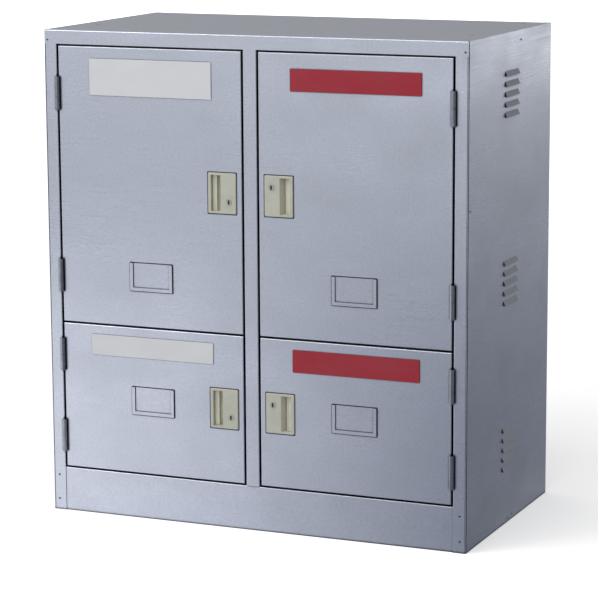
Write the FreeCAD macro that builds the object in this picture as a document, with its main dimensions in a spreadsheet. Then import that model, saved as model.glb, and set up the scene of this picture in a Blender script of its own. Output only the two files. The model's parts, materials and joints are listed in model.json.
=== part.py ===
import FreeCAD, Part
import math
import operator
import os
import types

import Sketcher
from FreeCAD import Vector

# A floor-standing steel medicine cabinet with two tall doors over two short ones.
# Folded sheet makes the carcass, each door is a pan with a liner, hung on two lift-off
# hinges, and each door has a recessed handle with a push paddle, a latch bolt and a lock.
# The model is drawn with the front face at zero depth. Every piece is then moved back by
# half the depth, so that the origin is on the floor under the middle of the carcass.

SIZES = {
    # carcass
    "width": 800.0,
    "depth": 450.0,
    "height": 880.0,
    "sheet": 1.0,
    "bend": 2.0,
    "seat": 0.3,
    "rail_height": 25.0,
    "post_face": 24.0,
    "post_flange": 15.0,
    "stop_depth": 22.0,
    "stop_lip": 10.0,
    "centre_width": 26.0,
    "kick_height": 81.0,
    "kick_return": 14.0,
    "floor_height": 92.0,
    "deck_skirt": 20.0,
    "back_flange": 15.0,
    "base_flange": 15.0,
    "partition_flange": 12.0,
    "brace_width": 50.0,
    "brace_height": 17.0,
    "stack_hole": 3.3,
    "stack_side_inset": 40.0,
    "stack_front_inset": 130.0,
    "stack_back_inset": 40.0,
    # louvres in the side panels
    "louvre_length": 70.0,
    "louvre_height": 9.5,
    "louvre_bulge": 4.5,
    "louvre_spacing": 17.8,
    "louvre_high_gap": 66.0,
    "louvre_middle_gap": 128.5,
    "louvre_low_gap": 99.3,
    # shelves
    "shelf_height": 600.0,
    "shelf_skirt": 20.0,
    "shelf_setback": 32.0,
    "strip_width": 20.0,
    "strip_thick": 1.5,
    "strip_front": 58.0,
    "strip_back": 22.0,
    "strip_low_gap": 10.0,
    "strip_high_gap": 40.0,
    "slot_width": 4.0,
    "slot_height": 12.0,
    "slot_spacing": 75.0,
    "clip_width": 16.0,
    "clip_ledge": 14.0,
    "clip_drop": 18.0,
    "clip_thick": 1.5,
    # doors
    "door_gap": 3.0,
    "door_thick": 20.0,
    "door_split": 352.5,
    "door_return": 12.0,
    "liner_inset": 1.0,
    "buffer_width": 5.0,
    "buffer_height": 12.0,
    "buffer_end": 30.0,
    # hinges
    "hinge_radius": 4.5,
    "hinge_pin": 2.5,
    "hinge_play": 0.05,
    "hinge_knuckle": 30.0,
    "hinge_proud": 3.8,
    "hinge_leaf": 1.5,
    "hinge_leaf_reach": 18.0,
    "hinge_inset_tall": 84.5,
    "hinge_inset_short": 58.0,
    # card holders
    "card_width": 83.0,
    "card_height": 50.0,
    "card_proud": 2.6,
    "card_sheet": 0.8,
    "card_lip": 6.0,
    "card_foot_gap": 65.0,
    # handle housing
    "handle_width": 54.0,
    "handle_height": 72.0,
    "handle_proud": 2.0,
    "handle_corner": 3.0,
    "handle_edge": 1.2,
    "handle_inset": 38.0,
    "handle_tuck": 2.0,
    "handle_play": 0.5,
    "handle_depth": 12.5,
    "rim_side": 5.8,
    "rim_end": 4.0,
    "recess_width": 19.0,
    "recess_depth": 10.5,
    "well_slope_width": 6.0,
    # paddle
    "pivot_inset": 2.0,
    "pivot_depth": 5.0,
    "pivot_radius": 1.4,
    "pivot_reach": 2.0,
    "paddle_length": 7.5,
    "paddle_thick": 2.0,
    "paddle_lip": 0.6,
    "paddle_lip_width": 1.6,
    "tail_length": 10.5,
    "tail_thick": 2.0,
    "tail_height": 6.0,
    "tail_ahead": 4.2,
    "tail_behind": 0.6,
    # latch bolt and spring
    "bolt_thick": 2.0,
    "bolt_height": 16.0,
    "bolt_reach": 5.0,
    "bolt_bevel": 3.0,
    "bolt_heel": 3.4,
    "bolt_play": 0.9,
    "spring_length": 12.0,
    "spring_height": 8.0,
    "spring_wire": 0.7,
    "lug_width": 2.5,
    "lug_height": 10.0,
    # lock
    "lock_across": 13.5,
    "lock_down": 15.0,
    "plug_radius": 4.5,
    "plug_play": 0.25,
    "collar_radius": 5.5,
    "collar_thick": 0.8,
    "keyway_width": 1.3,
    "keyway_height": 6.0,
    "keyway_depth": 7.0,
    "cam_width": 8.0,
    "cam_length": 24.0,
    "cam_thick": 2.0,
    "cam_gap": 0.6,
}
LOUVRE_COUNT = 5
SPRING_LEG_COUNT = 5

SUMS = {"+": operator.add, "-": operator.sub, "*": operator.mul, "/": operator.truediv}
PLANES = {"x": ("YZ_Plane", 1), "y": ("XZ_Plane", -1), "z": ("XY_Plane", 1)}
AXIS_INDEX = {"x": 0, "y": 1, "z": 2}
ORIGIN_POINT = (-1, 1)
START_INDEX = 1
END_INDEX = 2
CENTRE_INDEX = 3
SAME_PLACE_SHARE = 1e-6


class Size:
    """A length that keeps the spreadsheet formula it comes from beside its number."""

    def __init__(self, number, formula):
        self.number = number
        self.formula = formula

    def __add__(self, other):
        return joined(self, "+", other)

    def __radd__(self, other):
        return joined(other, "+", self)

    def __sub__(self, other):
        return joined(self, "-", other)

    def __rsub__(self, other):
        return joined(other, "-", self)

    def __mul__(self, other):
        return joined(self, "*", other)

    def __rmul__(self, other):
        return joined(other, "*", self)

    def __truediv__(self, other):
        return joined(self, "/", other)

    def __neg__(self):
        return joined(0, "-", self)


def as_size(value):
    """Return a Size as it is, and a zero, sign or count as a Size."""
    return value if isinstance(value, Size) else Size(float(value), repr(value))


def joined(left, sign, right):
    """Work out left sign right, as a number and as a formula."""
    left = as_size(left)
    right = as_size(right)
    number = SUMS[sign](left.number, right.number)
    return Size(number, f"({left.formula} {sign} {right.formula})")


def ordered(first, second):
    """Return two sizes with the smaller one first."""
    first = as_size(first)
    second = as_size(second)
    return (first, second) if first.number <= second.number else (second, first)


doc = FreeCAD.newDocument("medicine_cabinet")
sheet = doc.addObject("Spreadsheet::Sheet", "Sizes")
for row, (name, number) in enumerate(SIZES.items(), start=1):
    sheet.set(f"A{row}", name)
    sheet.set(f"B{row}", str(number))
    sheet.setAlias(f"B{row}", name)
doc.recompute()
s = types.SimpleNamespace(
    **{name: Size(float(sheet.get(name)), f"Sizes.{name}") for name in SIZES}
)
nodes = []


# Sketches and features

def new_body(label):
    """Start a sub-part, moved back so that the origin is under the middle of the carcass."""
    body = doc.addObject("PartDesign::Body", label)
    body.Label = label
    body.AllowCompound = True
    body.setExpression("Placement.Base.y", (-s.depth / 2).formula)
    nodes.append(body)
    return body


def hold(rules, sketch_point, place):
    """Add the two rules that hold a sketch point at a place."""
    for kind, value in zip(("DistanceX", "DistanceY"), place):
        rule = Sketcher.Constraint(kind, *ORIGIN_POINT, *sketch_point, value.number)
        rules.append((rule, value.formula))


def apply(sketch, rules):
    """Give a sketch its rules, each with its formula where it has one."""
    first = sketch.ConstraintCount
    sketch.addConstraint([rule for rule, formula in rules])
    for index, (rule, formula) in enumerate(rules, start=first):
        if formula:
            sketch.setExpression(f"Constraints[{index}]", formula)


def heading(start, end):
    """Return the direction of a level or upright line as two signs."""
    runs = (end[0].number - start[0].number, end[1].number - start[1].number)
    longest = max(abs(run) for run in runs)
    return tuple(
        0 if abs(run) < SAME_PLACE_SHARE * longest else int(math.copysign(1, run))
        for run in runs
    )


def moved(place, direction, amount):
    """Move a place along a level or upright direction."""
    return tuple(
        value + sign * amount if sign else value for value, sign in zip(place, direction)
    )


def flat(place):
    """Return a place in a sketch as a vector."""
    return Vector(place[0].number, place[1].number, 0)


def draw_outline(sketch, corners):
    """Draw a closed outline. A corner is (across, up), with a radius if it is a bend."""
    corners = [tuple(as_size(value) for value in corner) for corner in corners]
    count = len(corners)
    places = [corner[:2] for corner in corners]
    ends = []
    for index, corner in enumerate(corners):
        arriving = heading(places[index - 1], places[index])
        leaving = heading(places[index], places[(index + 1) % count])
        place = places[index]
        if corner == place:
            ends.append((place, place, None))
            continue
        radius = corner[-1]
        entry = moved(place, [-sign for sign in arriving], radius)
        way_out = moved(place, leaving, radius)
        centre = moved(entry, leaving, radius)
        left_turn = arriving[0] * leaving[1] - arriving[1] * leaving[0] > 0
        ends.append((entry, way_out, (centre, radius, left_turn)))
    first = sketch.GeometryCount
    lines = [
        Part.LineSegment(flat(ends[index][1]), flat(ends[(index + 1) % count][0]))
        for index in range(count)
    ]
    sketch.addGeometry(lines, False)
    rules = []
    for index, (entry, way_out, bend) in enumerate(ends):
        before = first + (index - 1) % count
        after = first + index
        hold(rules, (after, START_INDEX), way_out)
        if bend is None:
            meet = Sketcher.Constraint("Coincident", before, END_INDEX, after, START_INDEX)
            rules.append((meet, None))
            continue
        hold(rules, (before, END_INDEX), entry)
        rules += bend_rules(sketch, before, after, entry, way_out, bend)
    apply(sketch, rules)


def bend_rules(sketch, before, after, entry, way_out, bend):
    """Draw the quarter arc of a bend and return the rules that join it to its two lines."""
    centre, radius, left_turn = bend
    start = entry if left_turn else way_out
    spoke = flat(start) - flat(centre)
    angle = math.atan2(spoke.y, spoke.x)
    circle = Part.Circle(flat(centre), Vector(0, 0, 1), radius.number)
    arc = sketch.addGeometry(Part.ArcOfCircle(circle, angle, angle + math.pi / 2), False)
    arc_ends = (START_INDEX, END_INDEX) if left_turn else (END_INDEX, START_INDEX)
    arriving = Sketcher.Constraint("Coincident", before, END_INDEX, arc, arc_ends[0])
    leaving = Sketcher.Constraint("Coincident", after, START_INDEX, arc, arc_ends[1])
    size = Sketcher.Constraint("Radius", arc, radius.number)
    return [(arriving, None), (leaving, None), (size, radius.formula)]


def draw_circle(sketch, centre, radius):
    """Draw a circle held at its centre."""
    centre = tuple(as_size(value) for value in centre)
    ring = Part.Circle(flat(centre), Vector(0, 0, 1), radius.number)
    index = sketch.addGeometry(ring, False)
    rules = []
    hold(rules, (index, CENTRE_INDEX), centre)
    rules.append((Sketcher.Constraint("Radius", index, radius.number), radius.formula))
    apply(sketch, rules)


def extrude(body, kind, axis, start, end, shapes):
    """Pad or pocket outlines and circles from start to end along an axis."""
    low, high = ordered(start, end)
    role, facing = PLANES[axis]
    plane = next(item for item in body.Origin.OriginFeatures if item.Role == role)
    sketch = body.newObject("Sketcher::SketchObject", f"{body.Label}_sketch")
    sketch.AttachmentSupport = [(plane, "")]
    sketch.MapMode = "FlatFace"
    sketch.setExpression("AttachmentOffset.Base.z", (facing * low).formula)
    for shape in shapes:
        if isinstance(shape, list):
            draw_outline(sketch, shape)
        else:
            draw_circle(sketch, *shape)
    feature = body.newObject(f"PartDesign::{kind}", f"{body.Label}_{kind.lower()}")
    feature.Profile = sketch
    feature.Reversed = (facing < 0) == (kind == "Pad")
    feature.setExpression("Length", (high - low).formula)
    return feature


def pad(body, axis, start, end, *shapes):
    """Add material between two planes across an axis."""
    return extrude(body, "Pad", axis, start, end, shapes)


def cut(body, axis, start, end, *shapes):
    """Take material away between two planes across an axis."""
    return extrude(body, "Pocket", axis, start, end, shapes)


def repeat(body, originals, axis, pitch, count, backwards=False):
    """Repeat features along an axis at a pitch."""
    role = {"x": "X_Axis", "y": "Y_Axis", "z": "Z_Axis"}[axis]
    line = next(item for item in body.Origin.OriginFeatures if item.Role == role)
    pattern = body.newObject("PartDesign::LinearPattern", f"{body.Label}_row")
    pattern.Originals = originals
    pattern.Direction = (line, [""])
    pattern.Reversed = backwards
    pattern.Occurrences = count
    pattern.setExpression("Length", (pitch * (count - 1)).formula)
    body.Tip = pattern
    return pattern


def ease_edges(body, kind, feature, amount, axis, level):
    """Fillet or chamfer the edges of a feature that lie in one plane across an axis."""
    doc.recompute()
    index = AXIS_INDEX[axis]
    level = as_size(level).number
    near = SAME_PLACE_SHARE * s.width.number
    names = [
        f"Edge{number}"
        for number, edge in enumerate(feature.Shape.Edges, start=1)
        if all(abs(vertex.Point[index] - level) < near for vertex in edge.Vertexes)
    ]
    eased = body.newObject(f"PartDesign::{kind}", f"{body.Label}_{kind.lower()}")
    eased.Base = (feature, names)
    eased.setExpression({"Fillet": "Radius", "Chamfer": "Size"}[kind], amount.formula)


def mirrored(label, source):
    """Add the piece that is the mirror image of another, across the middle of the cabinet."""
    twin = doc.addObject("Part::Mirroring", label)
    twin.Label = label
    twin.Source = source
    twin.Normal = Vector(1, 0, 0)
    nodes.append(twin)
    return twin


# Outlines

def rectangle(first, second, inset=0):
    """Return the corners of a rectangle between two opposite corners, drawn in by an inset."""
    left, right = ordered(first[0], second[0])
    bottom, top = ordered(first[1], second[1])
    left = left + inset
    right = right - inset
    bottom = bottom + inset
    top = top - inset
    return [(left, bottom), (right, bottom), (right, top), (left, top)]


def rounded(corners, radius):
    """Give every corner of an outline the same radius."""
    return [(*corner, radius) for corner in corners]


def folded(path, side, thick=s.sheet, bend=s.bend):
    """Return the outline of a folded strip: a path of its faces, with the strip on one side.

    side is 1 for a strip on the left of the path and -1 for one on its right. bend is the
    outer radius of the folds, or None for sharp ones.
    """
    path = [tuple(as_size(value) for value in place) for place in path]
    ways = [heading(start, end) for start, end in zip(path, path[1:])]
    into = [(-side * way[1], side * way[0]) for way in ways]
    outside_bend = (bend,) if bend else ()
    inside_bend = (bend - thick,) if bend else ()
    face = [path[0]]
    inside = [moved(path[0], into[0], thick)]
    for index in range(1, len(ways)):
        turn = ways[index - 1][0] * ways[index][1] - ways[index - 1][1] * ways[index][0]
        outer = turn * side > 0
        corner = path[index]
        inner_corner = moved(moved(corner, into[index - 1], thick), into[index], thick)
        face.append((*corner, *(outside_bend if outer else inside_bend)))
        inside.append((*inner_corner, *(inside_bend if outer else outside_bend)))
    face.append(path[-1])
    inside.append(moved(path[-1], into[-1], thick))
    return face + inside[::-1]


def tray(label, axis, closed, opening, first, second, lip=None):
    """Fold a pan from sheet: one closed face and four sides, with an inner lip or without."""
    body = new_body(label)
    closed = as_size(closed)
    opening = as_size(opening)
    toward = 1 if opening.number > closed.number else -1
    block = pad(body, axis, closed, opening, rectangle(first, second))
    ease_edges(body, "Fillet", block, s.bend, axis, closed)
    floor = closed + toward * s.sheet
    if lip is None:
        cut(body, axis, floor, opening, rectangle(first, second, s.sheet))
        return body
    brim = opening - toward * s.sheet
    cut(body, axis, floor, brim, rectangle(first, second, s.sheet))
    cut(body, axis, brim, opening, rectangle(first, second, lip))
    return body


# Places that several pieces share

half = s.width / 2
side_inner = half - s.sheet
jamb = half - s.post_face
door_outer = jamb - s.door_gap
door_inner = s.centre_width / 2 + s.door_gap
door_middle = (door_outer + door_inner) / 2
rail_bottom = s.height - s.rail_height
back_face = s.depth - 2 * s.sheet
inner_back = back_face - s.sheet - s.seat
rear_limit = inner_back - s.sheet - s.seat
stop_back = s.stop_depth + s.sheet
lip_inner = jamb - s.stop_lip
deck_top = s.door_split + s.deck_skirt / 2
deck_front = stop_back + s.sheet + s.seat
partition_face = s.sheet / 2
hinge_across = jamb - s.door_gap / 2
hinge_bore = s.hinge_pin + s.hinge_play
recess_outer = -s.handle_width / 2 + s.rim_side
recess_inner = recess_outer + s.recess_width
recess_rise = s.handle_height / 2 - s.rim_end
pivot_across = recess_outer + s.pivot_inset
bolt_front = s.handle_depth + s.seat
bolt_back = bolt_front + s.bolt_thick
lug_right = s.lug_width / 2
spring_right = lug_right + s.spring_length
upper_ends = (s.door_split + s.door_gap / 2, rail_bottom - s.door_gap)
lower_ends = (s.kick_height + s.door_gap, s.door_split - s.door_gap / 2)
lower_middle = (lower_ends[1] - lower_ends[0]) / 2
DOOR_LEVELS = {
    "upper": (*upper_ends, s.hinge_inset_tall, s.card_foot_gap + s.card_height / 2),
    "lower": (*lower_ends, s.hinge_inset_short, lower_middle),
}
SIDES = {"left": -1, "right": 1}
handle_levels = [(low + high) / 2 for low, high, inset, rise in DOOR_LEVELS.values()]
hinge_levels = [
    level
    for low, high, inset, rise in DOOR_LEVELS.values()
    for level in (low + inset, high - inset)
]


# Carcass

def side_panels():
    """Fold the right side with its louvres and mirror it for the left."""
    body = new_body("side_panel_right")
    back_edge = half - s.back_flange
    wall = [(half, 0), (half, s.depth), (back_edge, s.depth)]
    pad(body, "z", 0, s.height, folded(wall, 1))
    foot_back = s.depth - s.back_flange
    pad(body, "z", 0, s.sheet, rectangle((half - s.base_flange, deck_front), (half, foot_back)))
    start = s.depth / 2 - s.louvre_length / 2
    end = s.depth / 2 + s.louvre_length / 2
    group = s.louvre_spacing * (LOUVRE_COUNT - 1) + s.louvre_height
    tops = (
        s.height - s.louvre_high_gap,
        s.door_split + s.louvre_middle_gap,
        s.louvre_low_gap + group,
    )
    for top in tops:
        bottom = top - s.louvre_height
        slot = cut(body, "x", side_inner, half, rectangle((start, bottom), (end, top)))
        flap = [
            (side_inner, top),
            (side_inner + s.louvre_bulge, bottom),
            (half + s.louvre_bulge, bottom),
            (half, top),
        ]
        hood = pad(body, "y", start, end, flap)
        repeat(body, [slot, hood], "z", s.louvre_spacing, LOUVRE_COUNT, backwards=True)
    mirrored("side_panel_left", body)


def front_posts():
    """Fold the right door post, with its jamb and stop lip above the kick plate."""
    body = new_body("front_post_right")
    corner = [(side_inner, s.post_flange), (side_inner, 0), (jamb, 0)]
    pad(body, "z", 0, s.kick_height, folded(corner, -1))
    stop = [(jamb, s.stop_depth), (lip_inner, s.stop_depth)]
    pad(body, "z", s.kick_height, rail_bottom, folded(corner + stop, -1))
    mirrored("front_post_left", body)


def top_panel():
    """Fold the top pan, with the door rail at its front and four holes for stacking bolts."""
    low = (-side_inner, 0)
    body = tray("top_panel", "z", s.height, rail_bottom, low, (side_inner, back_face))
    inner = side_inner - s.sheet
    shelf_back = rail_bottom + s.sheet
    pad(body, "z", rail_bottom, shelf_back, rectangle((-inner, s.sheet), (inner, stop_back)))
    reach = lip_inner - s.seat
    lip_end = (reach, rail_bottom - s.stop_lip)
    pad(body, "y", s.stop_depth, stop_back, rectangle((-reach, shelf_back), lip_end))
    across = half - s.stack_side_inset
    back_row = s.depth - s.stack_back_inset
    holes = [
        ((side * across, row), s.stack_hole)
        for side in SIDES.values()
        for row in (s.stack_front_inset, back_row)
    ]
    cut(body, "z", s.height - s.sheet, s.height, *holes)


def back_panel():
    """Cut the flat back, which sits inside the back folds of the sides."""
    body = new_body("back_panel")
    reach = half - s.bend - s.seat
    top = s.height - s.sheet - s.seat
    pad(body, "y", back_face, back_face + s.sheet, rectangle((-reach, 0), (reach, top)))


def base():
    """Fold the kick plate, the floor of the cabinet and the brace under it."""
    body = new_body("kick_plate")
    reach = side_inner - s.bend - s.seat
    section = [
        (s.sheet + s.kick_return, 0),
        (s.sheet, 0),
        (s.sheet, s.kick_height),
        (stop_back - s.seat, s.kick_height),
    ]
    pad(body, "x", -reach, reach, folded(section, -1))
    reach = side_inner - s.seat
    bottom = s.floor_height - s.deck_skirt
    ends = ((-reach, stop_back), (reach, inner_back))
    tray("floor_panel", "z", s.floor_height, bottom, *ends)
    front = (s.depth - s.brace_width) / 2
    ends = ((-reach, front), (reach, front + s.brace_width))
    tray("base_brace", "z", s.sheet, s.sheet + s.brace_height, *ends)


def centre_post():
    """Fold the hat-shaped post between the doors, with slots that the latch bolts enter."""
    body = new_body("centre_post")
    edge = s.centre_width / 2
    brim = edge + s.stop_lip
    hat = [(-edge, s.stop_depth), (-edge, 0), (edge, 0), (edge, s.stop_depth)]
    pad(body, "z", s.kick_height, rail_bottom, folded(hat, 1))
    brimmed = [(-brim, s.stop_depth), *hat, (brim, s.stop_depth)]
    low = s.floor_height + s.seat
    high = rail_bottom - s.stop_lip - s.seat
    pad(body, "z", low, high, folded(brimmed, 1))
    front = bolt_front - s.bolt_play
    back = bolt_back + s.bolt_play
    rise = s.bolt_height / 2 + s.bolt_play
    slots = [rectangle((front, level - rise), (back, level + rise)) for level in handle_levels]
    cut(body, "x", -edge, edge, *slots)


def inner_walls():
    """Fold the partition and the decks between the tall and short compartments."""
    body = new_body("centre_partition")
    path = [
        (-s.partition_flange, stop_back),
        (partition_face, stop_back),
        (partition_face, inner_back),
        (-s.partition_flange, inner_back),
    ]
    pad(body, "z", s.floor_height, s.height - s.sheet, folded(path, 1))
    low = (partition_face + s.seat, deck_front)
    high = (side_inner - s.seat, rear_limit)
    body = tray("divider_deck_right", "z", deck_top, deck_top - s.deck_skirt, low, high)
    mirrored("divider_deck_left", body)


def shelves():
    """Fold the shelves, with the slotted strips and clips that carry them."""
    outer = side_inner - s.strip_thick
    inner = partition_face + s.strip_thick
    low = (inner + s.seat, s.shelf_setback)
    high = (outer - s.seat, rear_limit)
    bottom = s.shelf_height - s.shelf_skirt
    mirrored("shelf_left", tray("shelf_right", "z", s.shelf_height, bottom, low, high))
    strips = new_body("shelf_strips")
    rows = (s.strip_front, rear_limit - s.strip_back)
    strip_low = deck_top + s.strip_low_gap
    strip_high = s.height - s.strip_high_gap
    reach = s.strip_width / 2
    strip_ends = [
        rectangle((row - reach, strip_low), (row + reach, strip_high)) for row in rows
    ]
    for side in SIDES.values():
        pad(strips, "x", side * outer, side * side_inner, *strip_ends)
        pad(strips, "x", side * partition_face, side * inner, *strip_ends)
    slot_reach = s.slot_width / 2
    slot_low = strip_low + s.slot_spacing / 2
    slot_high = slot_low + s.slot_height
    slot = [
        rectangle((row - slot_reach, slot_low), (row + slot_reach, slot_high)) for row in rows
    ]
    slots = cut(strips, "x", -side_inner, side_inner, *slot)
    count = int((strip_high - strip_low).number / s.slot_spacing.number)
    repeat(strips, [slots], "z", s.slot_spacing, count)
    shelf_clips(rows, outer, inner, bottom, slot_low)


def shelf_clips(rows, outer, inner, top, slot_low):
    """Fold the clips: a ledge under the shelf, a leg on the strip and a tongue in its slot."""
    clips = new_body("shelf_clips")
    below = int((top - slot_low).number / s.slot_spacing.number)
    tongue_low = slot_low + below * s.slot_spacing
    if (top - tongue_low).number < (s.slot_height + s.clip_thick).number:
        tongue_low = tongue_low - s.slot_spacing
    leg_low = tongue_low - (s.clip_drop - s.slot_height) / 2
    ledges = []
    tongues = []
    for side in SIDES.values():
        for face, away in ((outer, -side), (inner, side)):
            face = side * face
            ledge = face + away * s.clip_ledge
            leg = face + away * s.clip_thick
            under = top - s.clip_thick
            foot = [(face, leg_low), (leg, leg_low), (leg, under)]
            ledges.append(foot + [(ledge, under), (ledge, top), (face, top)])
            root = face - away * (s.strip_thick - s.seat)
            tongue_high = tongue_low + s.slot_height - s.seat
            tongues.append(rectangle((face, tongue_low + s.seat), (root, tongue_high)))
    for row in rows:
        reach = s.clip_width / 2
        pad(clips, "y", row - reach, row + reach, *ledges)
        reach = s.slot_width / 2 - s.seat
        pad(clips, "y", row - reach, row + reach, *tongues)


def door_buffers():
    """Set two soft buffers for each door on the brims of the centre post."""
    body = new_body("door_buffers")
    outer = s.centre_width / 2 + s.stop_lip
    inner = outer - s.buffer_width
    rise = s.buffer_height / 2
    pads = [
        rectangle((side * inner, level - rise), (side * outer, level + rise))
        for side in SIDES.values()
        for low, high, inset, card_rise in DOOR_LEVELS.values()
        for level in (low + s.buffer_end, high - s.buffer_end)
    ]
    pad(body, "y", s.door_thick + s.seat, s.stop_depth, *pads)


# Hinges

def knuckles(body, sides, low, high, leaf_side, *bores):
    """Add hinge knuckles between two levels, each with a leaf on its door or on its post."""
    for side in sides:
        centre = (side * hinge_across, -s.hinge_proud)
        pad(body, "z", low, high, (centre, s.hinge_radius), *[(centre, bore) for bore in bores])
        leaf_face = side * (hinge_across + leaf_side * s.hinge_leaf)
        root = hinge_bore + s.seat - s.hinge_proud
        leaf = rectangle((side * hinge_across, root), (leaf_face, s.hinge_leaf_reach))
        pad(body, "z", low, high, leaf)


def frame_hinges():
    """Make the lower halves of the hinges, fixed to the posts, with the pins that they carry."""
    halves = new_body("hinge_frame_halves")
    places = [(side * hinge_across, -s.hinge_proud) for side in SIDES.values()]
    pins = [(place, s.hinge_pin) for place in places]
    for level in hinge_levels:
        rim = level - s.seat
        knuckles(halves, SIDES.values(), level - s.hinge_knuckle, rim, 1)
        pad(halves, "z", rim, level + s.hinge_knuckle, *pins)


# Doors

def door(level_name, side_name):
    """Make one door: its pan, liner, hinge halves, card holder and handle."""
    low, high, hinge_inset, card_rise = DOOR_LEVELS[level_name]
    side = SIDES[side_name]
    name = f"{level_name}_{side_name}"
    level = (low + high) / 2
    toward = -side
    centre = side * (door_inner + s.handle_inset)

    def at(across, up):
        """Place a point by its distance from the handle's centre, towards the free edge and up."""
        return (centre + toward * across, level + toward * up)

    ends = ((side * door_inner, low), (side * door_outer, high))
    brim = s.door_thick - s.sheet
    pan = tray(f"door_panel_{name}", "y", 0, brim, *ends, lip=s.door_return)
    hole_x = s.handle_width / 2 - s.handle_tuck + s.handle_play
    hole_z = s.handle_height / 2 - s.handle_tuck + s.handle_play
    cut(pan, "y", 0, s.sheet, rectangle(at(-hole_x, -hole_z), at(hole_x, hole_z)))
    rise = s.bolt_height / 2 + s.seat
    slot = ((bolt_front - s.seat, level - rise), (bolt_back + s.seat, level + rise))
    cut(pan, "x", side * door_inner, side * (door_inner + s.sheet), rectangle(*slot))
    liner = new_body(f"door_liner_{name}")
    pad(liner, "y", brim, s.door_thick, rectangle(*ends, s.liner_inset))
    lock = at(s.lock_across, -s.lock_down)
    cut(liner, "y", brim, s.door_thick, (lock, s.plug_radius + s.handle_play))
    halves = new_body(f"hinge_door_halves_{name}")
    for hinge in (low + hinge_inset, high - hinge_inset):
        knuckles(halves, [side], hinge, hinge + s.hinge_knuckle, -1, hinge_bore)
    card_holder(name, side * door_middle, low + card_rise)
    handle_housing(name, at)
    paddle(name, at)
    latch_bolt(name, at)
    latch_spring(name, at)
    lock_cylinder(name, at)


def card_holder(name, across, middle):
    """Fold a card holder: a back plate with lips at its sides and foot, open at the top."""
    body = new_body(f"card_holder_{name}")
    reach = s.card_width / 2
    rise = s.card_height / 2
    ends = ((across - reach, middle - rise), (across + reach, middle + rise))
    pad(body, "y", -s.card_proud, 0, rectangle(*ends))
    for inset, front, back in (
        (s.card_sheet, s.card_sheet - s.card_proud, -s.card_sheet),
        (s.card_lip, -s.card_proud, s.card_sheet - s.card_proud),
    ):
        first = (across - reach + inset, middle - rise + inset)
        second = (across + reach - inset, middle + rise)
        cut(body, "y", front, back, rectangle(first, second))


def handle_housing(name, at):
    """Mould a handle housing: a bezel, a recess with one sloped wall, pivot notches, a lock bore."""
    body = new_body(f"handle_housing_{name}")
    reach = s.handle_width / 2
    rise = s.handle_height / 2
    bezel = rounded(rectangle(at(-reach, -rise), at(reach, rise)), s.handle_corner)
    plate = pad(body, "y", -s.handle_proud, 0, bezel)
    ease_edges(body, "Chamfer", plate, s.handle_edge, "y", -s.handle_proud)
    inner_reach = reach - s.handle_tuck
    inner_rise = rise - s.handle_tuck
    box = rectangle(at(-inner_reach, -inner_rise), at(inner_reach, inner_rise))
    pad(body, "y", 0, s.handle_depth, box)
    lug = rectangle(at(-lug_right, -s.lug_height / 2), at(lug_right, s.lug_height / 2))
    pad(body, "y", s.handle_depth, bolt_back, lug)
    section = [
        (at(recess_outer, 0)[0], -s.handle_proud),
        (at(recess_outer, 0)[0], s.recess_depth),
        (at(recess_inner - s.well_slope_width, 0)[0], s.recess_depth),
        (at(recess_inner, 0)[0], -s.handle_proud),
    ]
    cut(body, "z", at(0, -recess_rise)[1], at(0, recess_rise)[1], section)
    pivot = at(pivot_across, 0)[0]
    pin_end = recess_rise + s.pivot_reach
    room = s.pivot_radius + s.seat
    notch = ((pivot - room, s.pivot_depth - room), (pivot + room, s.handle_depth))
    for end in SIDES.values():
        cut(body, "z", at(0, end * recess_rise)[1], at(0, end * pin_end)[1], rectangle(*notch))
    tail_rise = s.tail_height / 2 + s.handle_play
    tail_start = pivot_across - s.tail_thick / 2 - s.tail_ahead
    tail_end = pivot_across + s.tail_thick / 2 + s.tail_behind
    window = rectangle(at(tail_start, -tail_rise), at(tail_end, tail_rise))
    cut(body, "y", s.pivot_depth, s.handle_depth, window)
    lock = at(s.lock_across, -s.lock_down)
    cut(body, "y", -s.handle_proud, s.handle_depth, (lock, s.plug_radius + s.plug_play))


def paddle(name, at):
    """Mould a push paddle: a plate with a raised edge, on a round pivot with a tail."""
    body = new_body(f"paddle_{name}")
    rise = recess_rise - s.seat
    pin_end = recess_rise + s.pivot_reach - s.seat
    pivot = at(pivot_across, 0)[0]
    tip = at(pivot_across + s.paddle_length, 0)[0]
    lip = at(pivot_across + s.paddle_length - s.paddle_lip_width, 0)[0]
    faces = (s.pivot_depth - s.paddle_thick / 2, s.pivot_depth + s.paddle_thick / 2)
    span = (at(0, -rise)[1], at(0, rise)[1])
    section = [
        (pivot, faces[0]),
        (lip, faces[0]),
        (lip, faces[0] - s.paddle_lip),
        (tip, faces[0] - s.paddle_lip),
        (tip, faces[1]),
        (pivot, faces[1]),
    ]
    pad(body, "z", *span, section)
    pin_span = (at(0, -pin_end)[1], at(0, pin_end)[1])
    pad(body, "z", *pin_span, ((pivot, s.pivot_depth), s.pivot_radius))
    tail_reach = s.tail_thick / 2
    tail = rectangle(
        (at(pivot_across - tail_reach, 0)[0], s.pivot_depth),
        (at(pivot_across + tail_reach, 0)[0], s.pivot_depth + s.tail_length),
    )
    pad(body, "z", at(0, -s.tail_height / 2)[1], at(0, s.tail_height / 2)[1], tail)


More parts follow.
